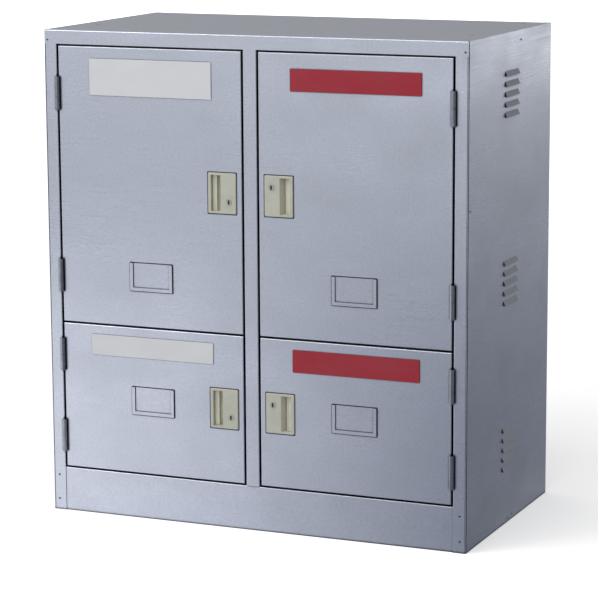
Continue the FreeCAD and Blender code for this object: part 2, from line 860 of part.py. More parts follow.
def latch_bolt(name, at):
    """Cut a latch bolt: a strip with a bevelled nose and windows for the tail and the spring."""
    body = new_body(f"latch_bolt_{name}")
    tail_left = pivot_across - s.tail_thick / 2 - s.bolt_play
    tail_right = pivot_across + s.tail_thick / 2 + s.tail_behind * 2
    heel = tail_left - s.bolt_heel
    tip = s.handle_inset + s.bolt_reach
    strip = [
        (at(heel, 0)[0], bolt_front),
        (at(tip, 0)[0], bolt_front),
        (at(tip, 0)[0], bolt_front + s.seat),
        (at(tip - s.bolt_bevel, 0)[0], bolt_back),
        (at(heel, 0)[0], bolt_back),
    ]
    rise = s.bolt_height / 2
    pad(body, "z", at(0, -rise)[1], at(0, rise)[1], strip)
    tail_rise = s.tail_height / 2 + s.handle_play
    tail_window = rectangle(at(tail_left, -tail_rise), at(tail_right, tail_rise))
    lug_rise = s.lug_height / 2 + s.handle_play
    lug_left = -lug_right - s.handle_play
    spring_window = rectangle(at(lug_left, -lug_rise), at(spring_right, lug_rise))
    cut(body, "y", bolt_front, bolt_back, tail_window, spring_window)


def latch_spring(name, at):
    """Bend the wavy spring that pushes the bolt out, between the lug and the bolt."""
    body = new_body(f"latch_spring_{name}")
    rise = s.spring_height / 2
    pitch = (s.spring_length - s.spring_wire) / (SPRING_LEG_COUNT - 1)
    path = []
    for leg in range(SPRING_LEG_COUNT):
        downward = leg % 2
        across = lug_right + pitch * leg + s.spring_wire * downward
        ends = [at(across, -rise), at(across, rise)]
        path += ends[::-1] if downward else ends
    wave = folded(path, -1, s.spring_wire, None)
    pad(body, "y", bolt_front, bolt_back, wave)


def lock_cylinder(name, at):
    """Turn a lock plug with a collar, a keyway and, behind the door, its cam."""
    body = new_body(f"lock_cylinder_{name}")
    place = at(s.lock_across, -s.lock_down)
    crown = -s.handle_proud - s.collar_thick
    cam_front = stop_back + s.cam_gap
    cam_back = cam_front + s.cam_thick
    pad(body, "y", crown, -s.handle_proud, (place, s.collar_radius))
    pad(body, "y", -s.handle_proud, cam_front, (place, s.plug_radius))
    reach = s.cam_width / 2
    heel = at(s.lock_across - reach, -s.lock_down - reach)
    nose = at(s.lock_across + reach, s.cam_length - s.lock_down)
    pad(body, "y", cam_front, cam_back, rectangle(heel, nose))
    reach = s.keyway_width / 2
    rise = s.keyway_height / 2
    keyway = rectangle(
        at(s.lock_across - reach, -s.lock_down - rise),
        at(s.lock_across + reach, rise - s.lock_down),
    )
    cut(body, "y", crown, crown + s.keyway_depth, keyway)


side_panels()
front_posts()
top_panel()
back_panel()
base()
centre_post()
inner_walls()
shelves()
door_buffers()
frame_hinges()
for level_name in DOOR_LEVELS:
    for side_name in SIDES:
        door(level_name, side_name)
doc.recompute()

# Every feature has to be sound, and every pocket has to take something away.
for item in doc.Objects:
    if "Invalid" in item.State or "Error" in item.State:
        raise RuntimeError(f"{item.Label} did not build: {item.State}")
    if item.TypeId == "PartDesign::Pocket":
        if item.Shape.Volume >= item.BaseFeature.Shape.Volume:
            raise RuntimeError(f"{item.Label} cuts nothing")
for node in nodes:
    if node.Shape.isNull() or not node.Shape.isValid():
        raise RuntimeError(f"{node.Label} is not a sound solid")

os.makedirs("parts", exist_ok=True)
for node in nodes:
    node.Shape.exportStep(f"parts/{node.Label}.step")
print(f"{len(nodes)} sub-parts written")
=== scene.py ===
"""Dress a four-door stainless steel medicine cabinet and set it on a pale studio floor."""

import json
import math

import bmesh
import bpy
import numpy as np
from bpy.props import FloatProperty, FloatVectorProperty, PointerProperty
from mathutils import Euler, Matrix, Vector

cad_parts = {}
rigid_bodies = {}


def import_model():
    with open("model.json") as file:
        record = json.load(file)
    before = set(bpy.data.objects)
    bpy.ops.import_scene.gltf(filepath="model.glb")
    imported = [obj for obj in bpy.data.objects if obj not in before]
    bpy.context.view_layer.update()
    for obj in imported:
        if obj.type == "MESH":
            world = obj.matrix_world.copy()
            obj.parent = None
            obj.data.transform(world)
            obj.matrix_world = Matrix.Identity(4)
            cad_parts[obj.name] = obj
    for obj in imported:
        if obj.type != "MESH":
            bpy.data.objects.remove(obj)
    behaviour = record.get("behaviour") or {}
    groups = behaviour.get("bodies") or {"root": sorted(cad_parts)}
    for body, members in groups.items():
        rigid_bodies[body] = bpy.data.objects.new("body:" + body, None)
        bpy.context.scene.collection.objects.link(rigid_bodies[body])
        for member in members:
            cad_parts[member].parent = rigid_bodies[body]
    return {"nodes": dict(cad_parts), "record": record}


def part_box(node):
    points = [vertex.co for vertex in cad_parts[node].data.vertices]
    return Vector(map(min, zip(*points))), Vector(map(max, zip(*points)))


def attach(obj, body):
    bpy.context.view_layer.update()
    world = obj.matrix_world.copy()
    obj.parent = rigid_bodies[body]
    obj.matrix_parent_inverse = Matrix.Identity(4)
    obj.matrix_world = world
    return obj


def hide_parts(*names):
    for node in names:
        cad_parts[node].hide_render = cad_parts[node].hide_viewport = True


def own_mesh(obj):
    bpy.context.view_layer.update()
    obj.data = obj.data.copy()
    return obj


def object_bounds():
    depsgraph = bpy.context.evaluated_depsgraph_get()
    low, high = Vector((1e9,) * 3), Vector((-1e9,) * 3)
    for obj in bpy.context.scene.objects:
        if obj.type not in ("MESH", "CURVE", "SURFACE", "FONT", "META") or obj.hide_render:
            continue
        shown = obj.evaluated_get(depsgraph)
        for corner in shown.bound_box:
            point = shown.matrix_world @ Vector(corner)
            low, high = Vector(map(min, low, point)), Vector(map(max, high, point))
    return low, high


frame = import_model()

bl_info = {
    "name": "Medicine Cabinet",
    "version": (1, 0, 0),
    "blender": (4, 5, 0),
    "location": "3D View > Sidebar > Cabinet",
    "description": "Finishes, plates, rivets, seams and studio of a stainless medicine cabinet",
    "category": "Object",
}

NODES = frame["nodes"]
JOINTS = {joint["name"]: joint for joint in frame["record"]["behaviour"]["joints"]}
CAD_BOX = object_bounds()
DOORS = ("upper_left", "upper_right", "lower_left", "lower_right")

SHEET_NODES = (
    "side_panel_left", "side_panel_right", "front_post_left", "front_post_right", "back_panel",
    "top_panel", "floor_panel", "kick_plate", "base_brace", "centre_post", "centre_partition",
    "divider_deck_left", "divider_deck_right", "shelf_strips", "shelf_left", "shelf_right",
)

# Each sign plate by its size, how far it starts from its door's free edge and how far it hangs
# below the door's top edge, in metres.
SIGNS = {
    "upper_left": {"width": 0.2375, "height": 0.065, "inset": 0.0573, "drop": 0.021},
    "upper_right": {"width": 0.241, "height": 0.039, "inset": 0.0604, "drop": 0.027},
    "lower_left": {"width": 0.2417, "height": 0.0375, "inset": 0.0586, "drop": 0.017},
    "lower_right": {"width": 0.2363, "height": 0.040, "inset": 0.0626, "drop": 0.017},
}
WHITE_SIGNS = ("upper_left", "lower_left")

# Rivets by their distance from the carcass's outer edges, in metres: on the front by how far
# they stand in from the side and above the floor, on the sides by depth and height.
FRONT_RIVETS = ((0.0105, 0.0207), (0.0112, 0.0658), (0.0060, 0.8620))
SIDE_RIVETS = ((0.2748, 0.8627), (0.2220, 0.0080), (0.2480, 0.0094), (0.0100, 0.5940))

# A rivet's dome by its rings and by the share of the radius that it loses towards its top, and
# the hollow in it by shares of the radius and of the dome's height.
RIVET_DOME_RINGS = 5
RIVET_TAPER = 0.3
RIVET_HOLLOW_REACH = (0.64, 0.62)
RIVET_HOLLOW_LEVEL = (0.55, 0.35)

# Other sizes in metres; the key slot by its width and height.
SHEET = 0.001
PLATE_CORNER = 0.0003
JOIN_DISTANCE = 0.00001
KEY_SLOT = (0.0013, 0.0060)

RIGHT = np.array((1.0, 0.0, 0.0))
BACK = np.array((0.0, 1.0, 0.0))
UP = np.array((0.0, 0.0, 1.0))
OUT_OF_FRONT = (RIGHT, UP, -BACK)


# Sizes and colours that a user may change

class SteelLook(bpy.types.PropertyGroup):
    """The satin sheet steel of the carcass and doors."""

    colour: FloatVectorProperty(
        name="Colour", description="Tint of the clean sheet", subtype="COLOR",
        default=(0.505, 0.535, 0.620), min=0, max=1,
    )
    smudge: FloatVectorProperty(
        name="Smudge", description="Tint where the sheet is handled and dull", subtype="COLOR",
        default=(0.455, 0.480, 0.555), min=0, max=1,
    )
    roughness: FloatProperty(
        name="Roughness", description="Mean roughness of the satin finish", subtype="FACTOR",
        default=0.31, min=0, max=1,
    )
    grain_pitch: FloatProperty(
        name="Grain pitch", description="Spacing of the rolled hairlines", unit="LENGTH",
        default=0.0012, min=0.0001,
    )
    grain_length: FloatProperty(
        name="Grain length", description="Length of the rolled hairlines", unit="LENGTH",
        default=0.12, min=0.001,
    )
    grain_depth: FloatProperty(
        name="Grain depth", description="Depth of the rolled hairlines", unit="LENGTH",
        default=0.00001, min=0,
    )
    wave_size: FloatProperty(
        name="Wave size", description="Width of the slow waves in a folded sheet", unit="LENGTH",
        default=0.24, min=0.01,
    )
    wave_depth: FloatProperty(
        name="Wave depth", description="Depth of the slow waves in a folded sheet", unit="LENGTH",
        default=0.0012, min=0,
    )
    # Painted shade: a near-black tint that ambient occlusion lays into the steel's seams and
    # corners, standing in for the shade there.
    grime_colour: FloatVectorProperty(
        name="Seam shade colour", description="Tint of the painted shade that gathers in seams", subtype="COLOR",
        default=(0.022, 0.023, 0.027), min=0, max=1,
    )
    grime_reach: FloatProperty(
        name="Seam shade reach", description="How far the painted shade spreads out of a seam", unit="LENGTH",
        default=0.006, min=0.0005,
    )
    hinge_colour: FloatVectorProperty(
        name="Hinge colour", description="Tint of the turned hinge knuckles", subtype="COLOR",
        default=(0.28, 0.30, 0.34), min=0, max=1,
    )
    hinge_roughness: FloatProperty(
        name="Hinge roughness", description="Roughness of the turned hinge knuckles",
        subtype="FACTOR", default=0.22, min=0, max=1,
    )


class HandleLook(bpy.types.PropertyGroup):
    """The moulded plastic of the handle housings and paddles."""

    colour: FloatVectorProperty(
        name="Colour", description="Tint of the moulded plate", subtype="COLOR",
        default=(0.39, 0.395, 0.335), min=0, max=1,
    )
    # Painted light: the well's tint is far lighter than the plate's, in place of light reaching
    # down into the recess.
    well_colour: FloatVectorProperty(
        name="Well colour", description="Tint inside the finger well",
        subtype="COLOR", default=(0.68, 0.66, 0.53), min=0, max=1,
    )
    roughness: FloatProperty(
        name="Roughness", description="Roughness of the moulded surface", subtype="FACTOR",
        default=0.48, min=0, max=1,
    )
    spark_pitch: FloatProperty(
        name="Spark pitch", description="Grain size of the moulded texture", unit="LENGTH",
        default=0.0008, min=0.0001,
    )
    spark_depth: FloatProperty(
        name="Spark depth", description="Depth of the moulded texture", unit="LENGTH",
        default=0.00003, min=0,
    )
    edge: FloatProperty(
        name="Edge", description="Rounding of the moulded edges", unit="LENGTH",
        default=0.0003, min=0,
    )


class LatchLook(bpy.types.PropertyGroup):
    """The locks with their key guards, latches, shelf clips and door buffers."""

    lock_colour: FloatVectorProperty(
        name="Lock colour", description="Tint of the plated lock face", subtype="COLOR",
        default=(0.38, 0.375, 0.345), min=0, max=1,
    )
    # Painted shade: the keyway is tinted near black below its rim, in place of the shade in the
    # slot.
    keyway_colour: FloatVectorProperty(
        name="Keyway colour", description="Tint inside the keyway", subtype="COLOR",
        default=(0.012, 0.012, 0.012), min=0, max=1,
    )
    zinc_colour: FloatVectorProperty(
        name="Zinc colour", description="Tint of the zinc-plated latch parts", subtype="COLOR",
        default=(0.52, 0.53, 0.53), min=0, max=1,
    )
    rubber_colour: FloatVectorProperty(
        name="Rubber colour", description="Tint of the door buffers and key guards",
        subtype="COLOR", default=(0.022, 0.022, 0.024), min=0, max=1,
    )
    # The black guard round a key slot is partly a real guard and partly painted shade that widens
    # the dark keyhole.
    guard_width: FloatProperty(
        name="Guard width", description="Width of the guard round a key slot", unit="LENGTH",
        default=0.0010, min=0.0001,
    )
    guard_rise: FloatProperty(
        name="Guard rise", description="Height of the guard round a key slot", unit="LENGTH",
        default=0.0003, min=0.0001,
    )


class SignLook(bpy.types.PropertyGroup):
    """The bare sign plates on the doors."""

    red: FloatVectorProperty(
        name="Red", description="Tint of the red plates", subtype="COLOR",
        default=(0.270, 0.012, 0.026), min=0, max=1,
    )
    white: FloatVectorProperty(
        name="White", description="Tint of the white plates", subtype="COLOR",
        default=(0.53, 0.54, 0.56), min=0, max=1,
    )
    thickness: FloatProperty(
        name="Thickness", description="Thickness of a plate", unit="LENGTH",
        default=0.0015, min=0.0002,
    )
    corner: FloatProperty(
        name="Corner", description="Radius of a plate's corners", unit="LENGTH",
        default=0.0012, min=0.0002,
    )
    edge: FloatProperty(
        name="Edge", description="Rounding of a plate's front edge", unit="LENGTH",
        default=0.0004, min=0.0001,
    )


class RivetLook(bpy.types.PropertyGroup):
    """The small blind rivets that hold the carcass together."""

    radius: FloatProperty(
        name="Radius", description="Radius of a rivet's flange", unit="LENGTH",
        default=0.0021, min=0.0005,
    )
    rise: FloatProperty(
        name="Rise", description="Height of a rivet's dome", unit="LENGTH",
        default=0.0008, min=0.0001,
    )
    colour: FloatVectorProperty(
        name="Colour", description="Tint of the rivet's dome", subtype="COLOR",
        default=(0.34, 0.36, 0.41), min=0, max=1,
    )
    # Painted shade: the hollow's near-black tint stands in for the shade down the pin's hole more
    # than for the pin's own colour.
    core_colour: FloatVectorProperty(
        name="Core colour", description="Tint of the broken-off pin inside", subtype="COLOR",
        default=(0.03, 0.03, 0.035), min=0, max=1,
    )


class SeamLook(bpy.types.PropertyGroup):
    """Painted shadow: near-black beads in the seams round the plates and down the corners,
    standing in for the shadow lines there.
    """

    # Painted shadow: the near-black tint of the beads that stand in for shadow lines.
    colour: FloatVectorProperty(
        name="Colour", description="Tint of the painted shadow", subtype="COLOR",
        default=(0.018, 0.019, 0.023), min=0, max=1,
    )
    width: FloatProperty(
        name="Width", description="Width of the line round a plate", unit="LENGTH",
        default=0.0018, min=0.0002,
    )
    corner_width: FloatProperty(
        name="Corner width", description="Width of the line down a corner", unit="LENGTH",
        default=0.004, min=0.0002,
    )
    rise: FloatProperty(
        name="Rise", description="Height of a line above the sheet", unit="LENGTH",
        default=0.0004, min=0.0001,
    )


class StudioLook(bpy.types.PropertyGroup):
    """The floor, lamps and camera."""

    floor_colour: FloatVectorProperty(
        name="Floor colour", description="Tint of the pale floor", subtype="COLOR",
        default=(0.86, 0.86, 0.86), min=0, max=1,
    )
    cloth_colour: FloatVectorProperty(
        name="Cloth colour", description="Tint of the grey cloth that the steel mirrors",
        subtype="COLOR", default=(0.25, 0.27, 0.32), min=0, max=1,
    )
    cloth_place: FloatProperty(
        name="Cloth place", description="Where the middle of the cloth's faded edge meets the "
        "cabinet's front, to the right of its middle", unit="LENGTH", default=0.22,
    )
    cloth_fade: FloatProperty(
        name="Cloth fade", description="Width over which the grey cloth fades in",
        unit="LENGTH", default=0.8, min=0.01,
    )
    floor_span: FloatProperty(
        name="Floor span", description="Width of the floor", unit="LENGTH", default=120, min=1,
    )
    near_glow: FloatProperty(
        name="Near glow", description="White added to the floor beside the cabinet as it is seen",
        default=0.32, min=0, max=1,
    )
    far_glow: FloatProperty(
        name="Far glow", description="White added to the floor far off as it is seen",
        default=0.68, min=0, max=1,
    )
    edge_glow: FloatProperty(
        name="Edge glow", description="White added on top of the far glow, beyond about 10 m",
        default=0.55, min=0, max=1,
    )
    room_bright: FloatProperty(
        name="Room bright side",
        description="Brightness of the room overhead and at the front left",
        default=0.77, min=0,
    )
    room_dim: FloatProperty(
        name="Room dim side",
        description="Brightness of the room below and at the back right",
        default=0.12, min=0,
    )
    key_power: FloatProperty(
        name="Key power", description="Power of the softbox at the front left", unit="POWER",
        default=42, min=0,
    )
    top_power: FloatProperty(
        name="Top power", description="Power of the softbox overhead", unit="POWER",
        default=28, min=0,
    )
    lens: FloatProperty(
        name="Lens", description="Focal length in millimetres on a 36 mm sensor",
        default=153.35, min=1,
    )
    place: FloatVectorProperty(
        name="Camera place", description="Where the camera stands", subtype="TRANSLATION",
        unit="LENGTH", default=(1.807, -4.223, 1.229),
    )
    pitch: FloatProperty(
        name="Pitch", description="Camera's tilt above the horizon", unit="ROTATION",
        default=math.radians(-10.467),
    )
    yaw: FloatProperty(
        name="Yaw", description="Camera's turn to the left of straight ahead", unit="ROTATION",
        default=math.radians(23.232),
    )
    roll: FloatProperty(
        name="Roll", description="Camera's lean", unit="ROTATION", default=math.radians(0.305),
    )


class CabinetLook(bpy.types.PropertyGroup):
    """All looks of the cabinet."""

    steel: PointerProperty(type=SteelLook)
    handle: PointerProperty(type=HandleLook)
    latch: PointerProperty(type=LatchLook)
    sign: PointerProperty(type=SignLook)
    rivet: PointerProperty(type=RivetLook)
    seam: PointerProperty(type=SeamLook)
    studio: PointerProperty(type=StudioLook)


# Surfaces

def rounded_outline(width, height, radius, steps=6):
    """Rounded rectangle: each quarter circle is pushed out to its corner by the signs of its
    cosine and sine, so x = (w/2 - r) sign(cos t) + r cos t, and z likewise with the sine."""
    turn = (np.arange(4 * steps) + 0.5) * math.tau / (4 * steps)
    across = (width / 2 - radius) * np.sign(np.cos(turn)) + radius * np.cos(turn)
    rise = (height / 2 - radius) * np.sign(np.sin(turn)) + radius * np.sin(turn)
    return np.stack((across, rise), axis=-1)


def raise_rings(outlines, levels):
    """Flat outlines as rings in space, each at its own level."""
    heights = np.broadcast_to(levels[:, None, None], (*outlines.shape[:2], 1))
    return np.concatenate((outlines, heights), axis=-1)


def plate_rings(width, height, thickness, corner, edge, steps=4):
    """Sign plate: an outline carried up a straight side and then inwards along a quarter circle,
    inset = e (1 - cos a) and level = t - e + e sin a for a from 0 to a right angle."""
    angle = np.linspace(0, math.pi / 2, steps + 1)
    insets = np.concatenate(([0], edge * (1 - np.cos(angle))))
    levels = np.concatenate(([0], thickness - edge + edge * np.sin(angle)))
    rings = [
        rounded_outline(width - 2 * inset, height - 2 * inset, corner - inset / 2)
        for inset in insets
    ]
    return raise_rings(np.stack(rings), levels)


def rivet_rings(radius, rise, points=20, steps=RIVET_DOME_RINGS):
    """Blind rivet: a profile turned about its axis. The dome follows r = R (1 - taper v) and
    h = H sin(v right angles) for v from 0 to 1, then falls into the hollow left by the pin."""
    share = np.linspace(0, 1, steps)
    reach = radius * np.concatenate((1 - RIVET_TAPER * share, RIVET_HOLLOW_REACH))
    level = rise * np.concatenate((np.sin(share * math.pi / 2), RIVET_HOLLOW_LEVEL))
    turn = np.arange(points) * math.tau / points
    circle = np.stack((np.cos(turn), np.sin(turn)), axis=-1)
    return raise_rings(reach[:, None, None] * circle, level)


def frame_bead(width, height, corner, line, rise, steps=8):
    """Bead round a plate: an outline carried round a half oval. At the angle a it is let out by
    line/2 (1 + cos a) and raised by rise sin a, and a flat sole closes the half oval."""
    angle = np.linspace(0, math.pi, steps + 1)
    rings = [
        rounded_outline(width + 2 * out, height + 2 * out, corner + out)
        for out in line / 2 * (1 + np.cos(angle))
    ]
    return raise_rings(np.stack(rings), rise * np.sin(angle))


def straight_bead(length, line, rise, steps=10):
    """Bead down a corner: a half oval, (line/2 cos a, rise sin a), at both ends of its length."""
    angle = np.linspace(0, math.pi, steps + 1)
    ends = [
        np.stack((line / 2 * np.cos(angle), np.full(angle.shape, end), rise * np.sin(angle)), -1)
        for end in (length / 2, -length / 2)
    ]
    return np.stack(ends)


def stand(rings, places, axes):
    """Copies of local rings on the cabinet: point = place + a u + b v + c w, for the three axes
    u, v, w of each place, with w pointing out of the sheet."""
    return places[:, None, None, :] + np.einsum("rpc,kcd->krpd", rings, axes)


def stand_in_front(rings, across, face, level):
    """One copy of local rings on an upright face, pointing to the front."""
    return stand(rings, np.array([(across, face, level)]), np.array([OUT_OF_FRONT]))


def put(name, data):
    """An object in the scene for a mesh, lamp or camera."""
    made = bpy.data.objects.new(name, data)
    bpy.context.scene.collection.objects.link(made)
    return made


def closed_solids(name, solids, hollow=False):
    """Mesh of closed solids from an array (solid, ring, point, place): quads join each ring to
    the next one. A flat face closes the first and the last ring, or quads join these two where
    the solid is a hollow frame."""
    count, rings, points, _ = solids.shape
    number = np.arange(count * rings * points).reshape(count, rings, points)
    if hollow:
        number = np.concatenate((number, number[:, :1]), axis=1)
    ahead = np.roll(number, -1, axis=2)
    quads = np.stack(
        (number[:, :-1], ahead[:, :-1], ahead[:, 1:], number[:, 1:]), axis=-1,
    ).reshape(-1, 4)
    lids = [] if hollow else np.concatenate((number[:, 0, ::-1], number[:, -1])).tolist()
    mesh = bpy.data.meshes.new(name)
    mesh.from_pydata(solids.reshape(-1, 3).tolist(), [], quads.tolist() + lids)
    mesh.update()
    if mesh.validate():
        raise RuntimeError(f"the mesh of {name} isn't sound")
    return put(name, mesh)


# Finishes: cells of a pattern per metre along X, Y and Z, and reliefs in metres. A gloss is the
# lowest and highest roughness, or how far the roughness goes from its mean. A range is the part of
# a pattern over which a tint changes, a tone is what a tint is multiplied by, and dust is added.

SMUDGE_CELLS = (6.0, 6.0, 9.0)
SMUDGE_RANGE = (0.35, 0.72)
SMUDGE_GLOSS = (-0.03, 0.05)
MOTTLE_CELLS = (240.0,) * 3
MOTTLE_TONES = (0.94, 1.06)
GRAIN_GLOSS = 0.05
# The ambient occlusion range over which the painted seam shade gives way to the steel's own tint.
SEAM_SHADE_RANGE = (0.48, 0.94)

RING_CELLS = (120.0, 120.0, 2600.0)
RING_GLOSS = 0.06
RING_RELIEF = 0.000015
SPOT_CELLS = (160.0, 160.0, 90.0)
SPOT_RANGE = (0.4, 0.7)
SPOT_TONE = 0.82

CLOUD_CELLS = (60.0,) * 3
CLOUD_TONES = (0.94, 1.05)
SPARK_GLOSS = 0.06

BRUSH_CELLS = (500.0, 500.0, 2400.0)
BRUSH_GLOSS = (0.30, 0.42)
BRUSH_RELIEF = 0.00001
# Depths behind the lock face over which the painted keyway shade sets in.
KEYWAY_SHADE_DEPTHS = (0.0002, 0.0006)
LOCK_METAL = 0.85

CRYSTAL_CELLS = (420.0,) * 3
CRYSTAL_TONE = 0.8
CRYSTAL_GLOSS = (0.28, 0.46)
CRYSTAL_RELIEF = 0.00001

BLOOM_CELLS = (700.0,) * 3
BLOOM_DUST = 0.03
BLOOM_GLOSS = (0.62, 0.8)
BLOOM_RELIEF = 0.00004

PEEL_CELLS = (260.0,) * 3
PEEL_GLOSS = (0.40, 0.50)
PEEL_RELIEF = 0.00004
FADE_CELLS = (14.0, 14.0, 22.0)
FADE_TONE = 0.92
FADE_DUST = 0.012

MARK_CELLS = (1800.0,) * 3
MARK_TONE = 0.75
MARK_GLOSS = 0.08
RIVET_ROUGHNESS = 0.34
RIVET_CORE_ROUGHNESS = 0.5

SMEAR_CELLS = (300.0, 300.0, 120.0)
SMEAR_DUST = 0.012
SMEAR_GLOSS = (0.55, 0.75)
SMEAR_RELIEF = 0.00005
LOW_SPECULAR = 0.3


def new_finish(name):
    """A material with an empty Principled shader, its node tree and that shader."""
    finish = bpy.data.materials.new(name)
    finish.use_nodes = True
    tree = finish.node_tree
    return finish, tree, tree.nodes["Principled BSDF"]


def add_node(tree, kind, values=(), **settings):
    """A node with its settings, and its inputs set from values."""
    made = tree.nodes.new(kind)
    for key, value in settings.items():
        setattr(made, key, value)
    for socket, value in dict(values).items():
        made.inputs[socket].default_value = value
    return made


def grown_noise(tree, scale, detail=2.0, roughness=0.5):
    """Noise on Object coordinates, stretched by a scale in cells per metre along X, Y and Z."""
    place = add_node(tree, "ShaderNodeTexCoord")
    stretch = add_node(tree, "ShaderNodeMapping", {"Scale": scale})
    noise = add_node(
        tree, "ShaderNodeTexNoise",
        {"Scale": 1.0, "Detail": detail, "Roughness": roughness},
    )
    tree.links.new(place.outputs["Object"], stretch.inputs["Vector"])
    tree.links.new(stretch.outputs["Vector"], noise.inputs["Vector"])
    return noise.outputs["Fac"]


def spread(tree, source, low, high, from_low=0.3, from_high=0.7):
    """A value between low and high that follows a source."""
    between = add_node(
        tree, "ShaderNodeMapRange",
        {"From Min": from_low, "From Max": from_high, "To Min": low, "To Max": high},
    )
    tree.links.new(source, between.inputs["Value"])
    return between.outputs["Result"]


def blend_colours(tree, share, first, second):
    """A colour that follows a share from 0 to 1 between two colours, written or linked."""
    mix = add_node(tree, "ShaderNodeMix", data_type="RGBA")
    colours = [socket for socket in mix.inputs if socket.type == "RGBA"]
    for socket, colour in zip(colours, (first, second)):
        if isinstance(colour, bpy.types.NodeSocket):
            tree.links.new(colour, socket)
        else:
            socket.default_value = (*colour, 1)
    tree.links.new(share, mix.inputs["Factor"])
    return next(socket for socket in mix.outputs if socket.type == "RGBA")


def reckon(tree, operation, first, second, clamp=False):
    """Two linked values put together by an operation."""
    made = add_node(tree, "ShaderNodeMath", operation=operation, use_clamp=clamp)
    tree.links.new(first, made.inputs[0])
    tree.links.new(second, made.inputs[1])
    return made.outputs["Value"]


def toned(colour, tone=1.0, dust=0.0):
    """A colour made darker by a tone, with some dust added."""
    return tuple(tone * part + dust for part in colour)


def seam_painted_shade(tree, tint, look):
    """A tint that turns to painted shade, near black, where ambient occlusion finds a seam or
    corner closing in on the surface.
    """
    occlusion = add_node(tree, "ShaderNodeAmbientOcclusion", {"Distance": look.grime_reach})
    unshaded = spread(tree, occlusion.outputs["AO"], 0, 1, *SEAM_SHADE_RANGE)
    return blend_colours(tree, unshaded, look.grime_colour, tint)


def emboss(tree, height, depth, below=None):
    """A bump of a given depth, laid over another bump."""
    bump = add_node(tree, "ShaderNodeBump", {"Strength": 1.0, "Distance": depth})
    tree.links.new(height, bump.inputs["Height"])
    if below is not None:
        tree.links.new(below, bump.inputs["Normal"])
    return bump.outputs["Normal"]


def revalue(tree, tint, pattern, tones):
    """A tint made darker and lighter between two tones by a pattern."""
    value = add_node(tree, "ShaderNodeHueSaturation")
    tree.links.new(tint, value.inputs["Color"])
    tree.links.new(spread(tree, pattern, *tones), value.inputs["Value"])
    return value.outputs["Color"]


def lay_on(tree, shader, tint, gloss, relief=None):
    """Link a tint, a roughness and, where there is one, a relief to a shader."""
    tree.links.new(tint, shader.inputs["Base Color"])
    tree.links.new(gloss, shader.inputs["Roughness"])
    if relief is not None:
        tree.links.new(relief, shader.inputs["Normal"])


def rolled_grain(tree, look):
    """Hairlines that run level: stacked in height on walls, and from front to back on decks."""
    fine = 1 / look.grain_pitch
    long = 1 / look.grain_length
    walls = grown_noise(tree, (long, long, fine), detail=3.0)
    decks = grown_noise(tree, (long, fine, long), detail=3.0)
    facing = add_node(tree, "ShaderNodeNewGeometry")
    parts = add_node(tree, "ShaderNodeSeparateXYZ")
    steep = add_node(tree, "ShaderNodeMath", operation="ABSOLUTE")
    choose = add_node(tree, "ShaderNodeMix", data_type="FLOAT")
    tree.links.new(facing.outputs["True Normal"], parts.inputs["Vector"])
    tree.links.new(parts.outputs["Z"], steep.inputs[0])
    tree.links.new(steep.outputs["Value"], choose.inputs["Factor"])
    tree.links.new(walls, choose.inputs["A"])
    tree.links.new(decks, choose.inputs["B"])
    return choose.outputs["Result"]


def sheet_steel(look):
    """Satin stainless sheet: level hairlines, dull smudges, a fine mottle and slow waves, with
    shade painted into its seams."""
    finish, tree, shader = new_finish("satin_sheet_steel")
    grain = rolled_grain(tree, look)
    smudges = grown_noise(tree, SMUDGE_CELLS, detail=5.0, roughness=0.6)
    waves = grown_noise(tree, (1 / look.wave_size,) * 3, detail=1.0)
    mottle = grown_noise(tree, MOTTLE_CELLS)
    dulled = blend_colours(
        tree, spread(tree, smudges, 0, 1, *SMUDGE_RANGE), look.colour, look.smudge,
    )
    tint = revalue(tree, dulled, mottle, MOTTLE_TONES)
    low, high = (look.roughness + step for step in SMUDGE_GLOSS)
    grained = spread(tree, grain, -GRAIN_GLOSS, GRAIN_GLOSS)
    gloss = reckon(tree, "ADD", grained, spread(tree, smudges, low, high))
    relief = emboss(tree, grain, look.grain_depth, emboss(tree, waves, look.wave_depth))
    # The tint carries painted shade in seams and corners, where ambient occlusion finds them.
    lay_on(tree, shader, seam_painted_shade(tree, tint, look), gloss, relief)
    shader.inputs["Metallic"].default_value = 1.0
    return finish


def turned_steel(look):
    """Turned steel of the hinge knuckles: fine rings round the barrel, a few dull spots, and
    shade painted into its seams."""
    finish, tree, shader = new_finish("turned_hinge_steel")
    rings = grown_noise(tree, RING_CELLS)
    spots = grown_noise(tree, SPOT_CELLS, detail=4.0)
    dull = toned(look.hinge_colour, SPOT_TONE)
    tint = blend_colours(tree, spread(tree, spots, 0, 1, *SPOT_RANGE), look.hinge_colour, dull)
    mean = look.hinge_roughness
    gloss = spread(tree, rings, mean - RING_GLOSS, mean + RING_GLOSS)
    # The tint carries painted shade in seams and corners, where ambient occlusion finds them.
    lay_on(tree, shader, seam_painted_shade(tree, tint, look), gloss, emboss(tree, rings, RING_RELIEF))
    shader.inputs["Metallic"].default_value = 1.0
    return finish


def depth_share(tree, front, back):
    """A share that goes from 0 at one depth of the cabinet to 1 at another."""
    place = add_node(tree, "ShaderNodeTexCoord")
    parts = add_node(tree, "ShaderNodeSeparateXYZ")
    tree.links.new(place.outputs["Object"], parts.inputs["Vector"])
    return spread(tree, parts.outputs["Y"], 0.0, 1.0, front, back)


